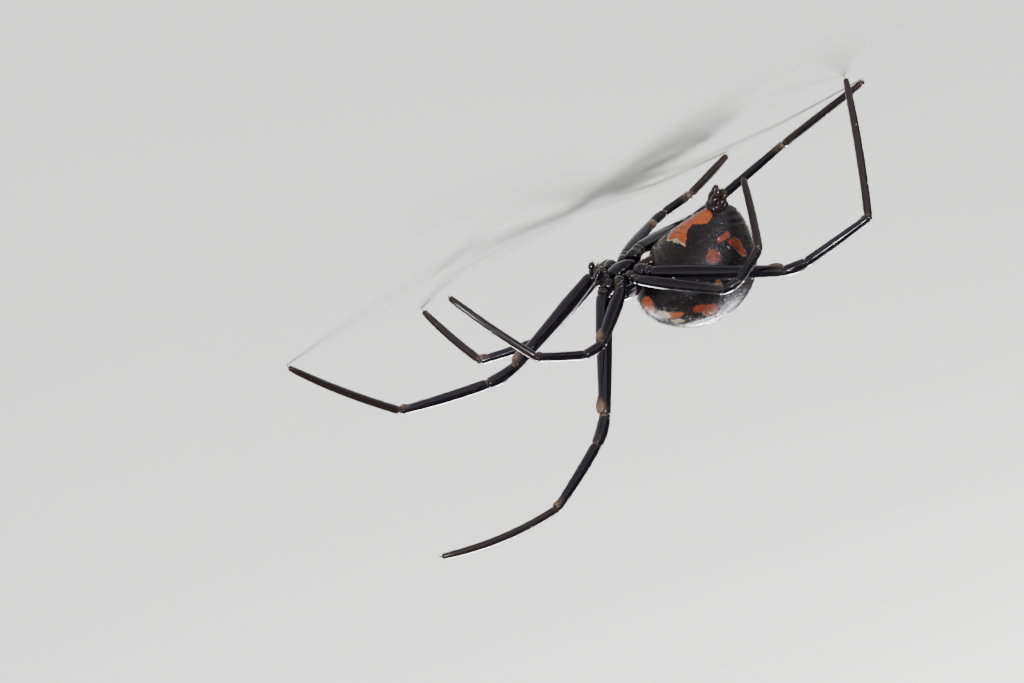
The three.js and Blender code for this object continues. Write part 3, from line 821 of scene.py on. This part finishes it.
def leg_joints(name):
    """Root, hip, knee, bend, ankle and toe of a leg, and the outer sides of its knee and foot."""
    side, pair = (1 if name.startswith("left") else -1), int(name[-1])
    (root_x, root_y), (hip_x, hip_y) = COXA_ROOT[pair], HIP[pair]
    coxa = ((root_x, side * root_y, HIP_DROP - 0.06), (hip_x, side * hip_y, HIP_DROP))
    root, hip = on_trunk(np.array(coxa))
    knee, ankle, toe = (np.array(p, float) for p in POSE[name][:3])
    toe[2] = max(toe[2], SOLE_HEIGHT)
    middle = np.array(SPAN_MIDDLE)
    knee, ankle, toe = knee - middle, ankle - middle, toe - middle
    thigh, shin = unit(knee - hip), unit(ankle - knee)
    bend = knee + PATELLA_LENGTH[pair] * unit(thigh + (shin - thigh) * PATELLA_TURN)
    foot = toe - ankle
    outward = unit(shin - foot * np.dot(shin, foot) / np.dot(foot, foot))
    return (root, hip, knee, bend, ankle, toe), unit(thigh - shin), outward


def add_segment(parts, a, b, profile, outer, bow, hair, near, far):
    """A tube of shell, amber on its inner side near the hinges at its two ends."""
    (tube, faces, lie, unwrap), shares = limb(a, b, profile, outer, 34, 24, bow)
    length = np.linalg.norm(b - a)
    inner = 0.12 + 0.88 * smoothstep(-np.sin(2 * np.pi * unwrap[:, 1]), -0.1, 0.75)
    at_near = near * (1 - smoothstep(shares * length, 0.05, 0.42))
    at_far = far * smoothstep((shares - 1) * length, -0.95, -0.3)
    parts.add(tube, faces, thin=inner * (at_near + at_far), bristly=hair, lie=lie, unwrap=unwrap)


def add_hinge(parts, before, joint, after, outer, size):
    """The black hood over a joint's outer side, and the soft amber skin inside its bend."""
    arriving, leaving = unit(joint - before), unit(after - joint)
    steps = np.linspace(-1, 1, 13)[:, None]
    arc = joint + 1.15 * size * np.where(steps < 0, steps * arriving, steps * leaving)
    for shift, share, thin in ((0.2, 0.8, 0.06), (-0.12, 0.82, 0.5)):
        swell = size * share * np.sqrt(1 - 0.9 * steps[:, 0] ** 2)
        parts.add(*ring_tube(arc + shift * size * outer, swell, outer, 22)[:2], thin=thin)


def add_bulb(parts, joint, line, outer, length, size):
    """The swollen amber end on the inner side of a segment, where the skin of the joint begins."""
    a, b = joint - length * line - 0.3 * size * outer, joint - 0.06 * line - 0.3 * size * outer
    (bulb, faces, _, _), shares = limb(a, b, scaled(BULB_PROFILE, size), outer, 22, 22, -0.06)
    from_joint = bulb - joint
    proud = np.linalg.norm(from_joint - np.outer(from_joint @ line, line), axis=1) - size
    fade = smoothstep(shares, 0.15, 0.75) * smoothstep(proud, -0.04, 0.08)
    parts.add(bulb, faces, thin=0.06 + 0.9 * fade)


foot_shell = cuticle("foot_shell", (0.018, 0.011, 0.008), (0.12, 0.07, 0.038), 0.2)
for leg in POSE:
    pair = int(leg[-1])
    r = LEG_RADIUS[pair]
    (root, hip, knee, bend, ankle, toe), outer, outward = leg_joints(leg)
    shank, heel = max(SHANK_LEAST, r * 0.66), max(HEEL_LEAST, r * 0.52)
    thigh = unit(knee - hip)
    patella = [(0, r * 0.62), (0.12, r * 0.7), (0.5, r * 0.76), (0.9, r * 0.7), (1, shank * 0.95)]
    tibia = [(0, shank * 0.86), (0.05, shank * 0.98), (0.5, shank * 0.95)]
    tibia += [(0.9, heel), (0.97, heel * 1.04), (1, heel * 0.9)]
    segments = (
        # From, to, profile, bow, how bristly, amber at the near and far ends
        (root, root + 0.74 * (hip - root), scaled(COXA_PROFILE, r), 0.0, 0.25, 0, 0.08),
        (root + 0.66 * (hip - root), hip + 0.16 * thigh, scaled(TROCHANTER_PROFILE, r), 0.0, 0.3, 0.08, 0.1),
        (hip, knee - 0.03 * thigh, scaled(FEMUR_PROFILE, r), 0.008, 0.45, 0.1, 0.5),
        (knee - 0.02 * thigh, bend, patella, 0.05, 0.6, 0.1, 0.12),
        (bend, ankle, tibia, 0.012, 1.0, 0.05, 0.5),
    )
    limb_parts = Joined()
    for a, b, profile, bow, hair, near, far in segments:
        add_segment(limb_parts, a, b, profile, outer, bow, hair, near, far)
    add_hinge(limb_parts, hip, knee, bend, outer, r * 0.7)
    add_hinge(limb_parts, knee, bend, ankle, outer, shank * 0.9)
    shin = unit(ankle - bend)
    add_bulb(limb_parts, knee, thigh, outer, 3.4 * r, r * 0.76)
    add_bulb(limb_parts, ankle, shin, outer, 3.0 * heel, heel)
    shell = limb_parts.piece(f"{leg}_leg", black_shell, "shell_black",
                             [f"{leg}_coxa", f"{leg}_femur", f"{leg}_tibia"])

    foot_parts = Joined()
    foot_bow = POSE[leg][3]
    steep = 4 * foot_bow * np.linalg.norm(toe - ankle) * outward
    heel_line, sole = unit(toe - ankle + steep), unit(toe - ankle - steep)
    add_segment(foot_parts, ankle - 0.02 * heel_line, toe, FOOT_PROFILE, outward, foot_bow, 1.3, 0.6, 0.3)
    add_hinge(foot_parts, bend, ankle, ankle + heel_line, outward, FOOT_JOINT_RADIUS)
    across_foot = unit(np.cross(sole, outward))
    steps = np.linspace(0, 1, 9)[:, None]
    taper = CLAW_RADIUS * (1 - 0.85 * steps[:, 0])
    for lean, reach in CLAWS:
        claw = toe - 0.05 * sole + steps * (reach * sole + 0.07 * lean * across_foot)
        claw = claw - steps**2 * 0.1 * outward
        foot_parts.add(*ring_tube(claw, taper, outward, 8)[:2], thin=0.5)
    foot_points = np.array(foot_parts.points)
    foot_points[:, 2] = np.maximum(foot_points[:, 2], CLAW_LOWEST)
    foot_parts.points = list(foot_points)
    foot_piece = foot_parts.piece(f"{leg}_foot", foot_shell, "shell_brown", [f"{leg}_foot"])

    grow(f"{leg}_leg_bristles", shell, "shell_black", nap, Density=1.9e7, Length=0.34 * MM,
         Thickness=0.008 * MM, Lean=0.72, Curl=0.2, Seed=20 + pair)
    grow(f"{leg}_foot_bristles", foot_piece, "shell_brown", nap, Density=2.4e7, Length=0.3 * MM,
         Thickness=0.007 * MM, Lean=0.74, Curl=0.2, Seed=30 + pair)

# Floor, light and camera
# A pale studio floor. Three soft lamps behind put white rims on the black shell, and two small
# ones, a broad high panel and a dim sky fill the rest. The camera looks 5 degrees down with a
# long lens, and is rolled past upside down, as the photograph is turned.
FLOOR_HALF, FLOOR_PAINT = 6, (0.47, 0.465, 0.455, 1)
floor_corners = [(x * FLOOR_HALF, y * FLOOR_HALF, 0) for x, y in ((-1, -1), (1, -1), (1, 1), (-1, 1))]
floor_mesh = bpy.data.meshes.new("floor")
floor_mesh.from_pydata(floor_corners, [], [(0, 1, 2, 3)])
floor = bpy.data.objects.new("floor", floor_mesh)
bpy.context.scene.collection.objects.link(floor)
floor_paint = bpy.data.materials.new("floor_paint")
floor_paint.use_nodes = True
paint = floor_paint.node_tree.nodes["Principled BSDF"]
paint.inputs["Base Color"].default_value = FLOOR_PAINT
paint.inputs["Roughness"].default_value = 0.75
floor_mesh.materials.append(floor_paint)

LIGHTS = (
    # Name, place, aim, size and power: metres and watts
    ("back", (-0.3, 1.2, 1.1), (0, 0, 0.005), 0.35, 16.0),
    ("rim", (0.2, 1.8, 0.85), (0, 0, 0.005), 0.4, 60.0),
    ("front_rim", (1.2, 1.3, 0.6), (0, 0, 0.005), 0.35, 22.0),
    ("fill", (0.6, -0.95, 0.3), (0, 0, 0.004), 0.08, 7.0),
    ("low", (-0.3, -1.0, 0.14), (0, 0, 0.004), 0.06, 6.0),
)
for name, place, aim, size, power in LIGHTS:
    lamp = bpy.data.lights.new(name, "AREA")
    lamp.size, lamp.energy = size, power
    stand = bpy.data.objects.new(name, lamp)
    stand.location = place
    stand.rotation_euler = (Vector(place) - Vector(aim)).to_track_quat("Z", "Y").to_euler()
    bpy.context.scene.collection.objects.link(stand)

sun = bpy.data.lights.new("sky_panel", "SUN")
sun.energy, sun.angle = 1.3, math.radians(40)
sun_stand = bpy.data.objects.new("sky_panel", sun)
sun_stand.rotation_euler = (math.radians(-28), math.radians(-14), 0)
bpy.context.scene.collection.objects.link(sun_stand)

world = bpy.data.worlds.new("studio")
world.use_nodes = True
sky = world.node_tree.nodes["Background"]
sky.inputs["Color"].default_value = (0.86, 0.88, 0.92, 1)
sky.inputs["Strength"].default_value = 0.2
bpy.context.scene.world = world

CAMERA_DOWN, CAMERA_ROLL, CAMERA_AWAY = math.radians(5), math.radians(27.11), 0.5
PHOTO_PIXELS, PIXELS_TO_MM, SENSOR_WIDTH = 1024, 17, 36
PHOTO_WIDTH = PHOTO_PIXELS / PIXELS_TO_MM * MM
AIM = (Vector((6.62, 0.0, 4.71)) - SPAN_MIDDLE) * MM
toward = Vector((0, -math.cos(CAMERA_DOWN), math.sin(CAMERA_DOWN)))
level, rise = Vector((1, 0, 0)), Vector((0, math.sin(CAMERA_DOWN), math.cos(CAMERA_DOWN)))
right = math.sin(CAMERA_ROLL) * rise - math.cos(CAMERA_ROLL) * level
top = -math.sin(CAMERA_ROLL) * level - math.cos(CAMERA_ROLL) * rise
view = bpy.data.cameras.new("camera")
view.sensor_width = SENSOR_WIDTH
view.lens = SENSOR_WIDTH * CAMERA_AWAY / PHOTO_WIDTH
view.clip_start = 0.01
camera = bpy.data.objects.new("camera", view)
turn = Matrix((right, top, toward)).transposed().to_4x4()
camera.matrix_world = Matrix.Translation(AIM + toward * CAMERA_AWAY) @ turn
bpy.context.scene.collection.objects.link(camera)
bpy.context.scene.camera = camera
